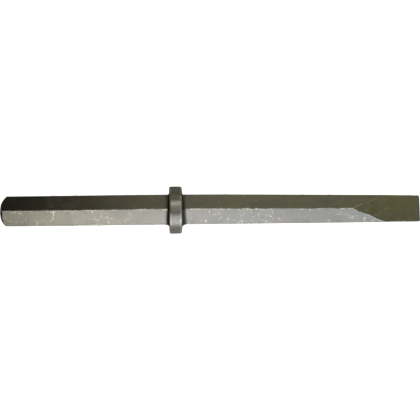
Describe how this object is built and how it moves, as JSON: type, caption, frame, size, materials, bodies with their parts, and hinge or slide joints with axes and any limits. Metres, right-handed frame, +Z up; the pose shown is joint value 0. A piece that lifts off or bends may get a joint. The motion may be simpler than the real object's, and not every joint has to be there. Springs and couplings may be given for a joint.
{
  "type": "hexagonal shank flat chisel with collar",
  "caption": "Flat chisel tool for a breaker hammer: hexagonal steel bar with a round collar, a chamfered striking face and a broad two-bevel blade.",
  "frame": {"origin": "centre of the round striking face", "axes": "+X along the bar from the striking face to the cutting edge, +Y along the cutting edge, +Z up through a corner of the hexagon, square to the blade"},
  "size_m": [0.41, 0.046, 0.046],
  "materials": {
    "bar_steel": "satin, oil-darkened olive-brown mill scale with fine bright scratches and chips",
    "collar_steel": "satin, forged, with olive-brown oxide and rubbed rim",
    "weld_metal": "dark oxidised weld metal"
  },
  "bodies": {
    "root": {"hex_bar": "bar_steel", "collar_ring": "collar_steel", "rear_weld_fillet": "weld_metal", "front_weld_fillet": "weld_metal"}
  },
  "joints": []
}
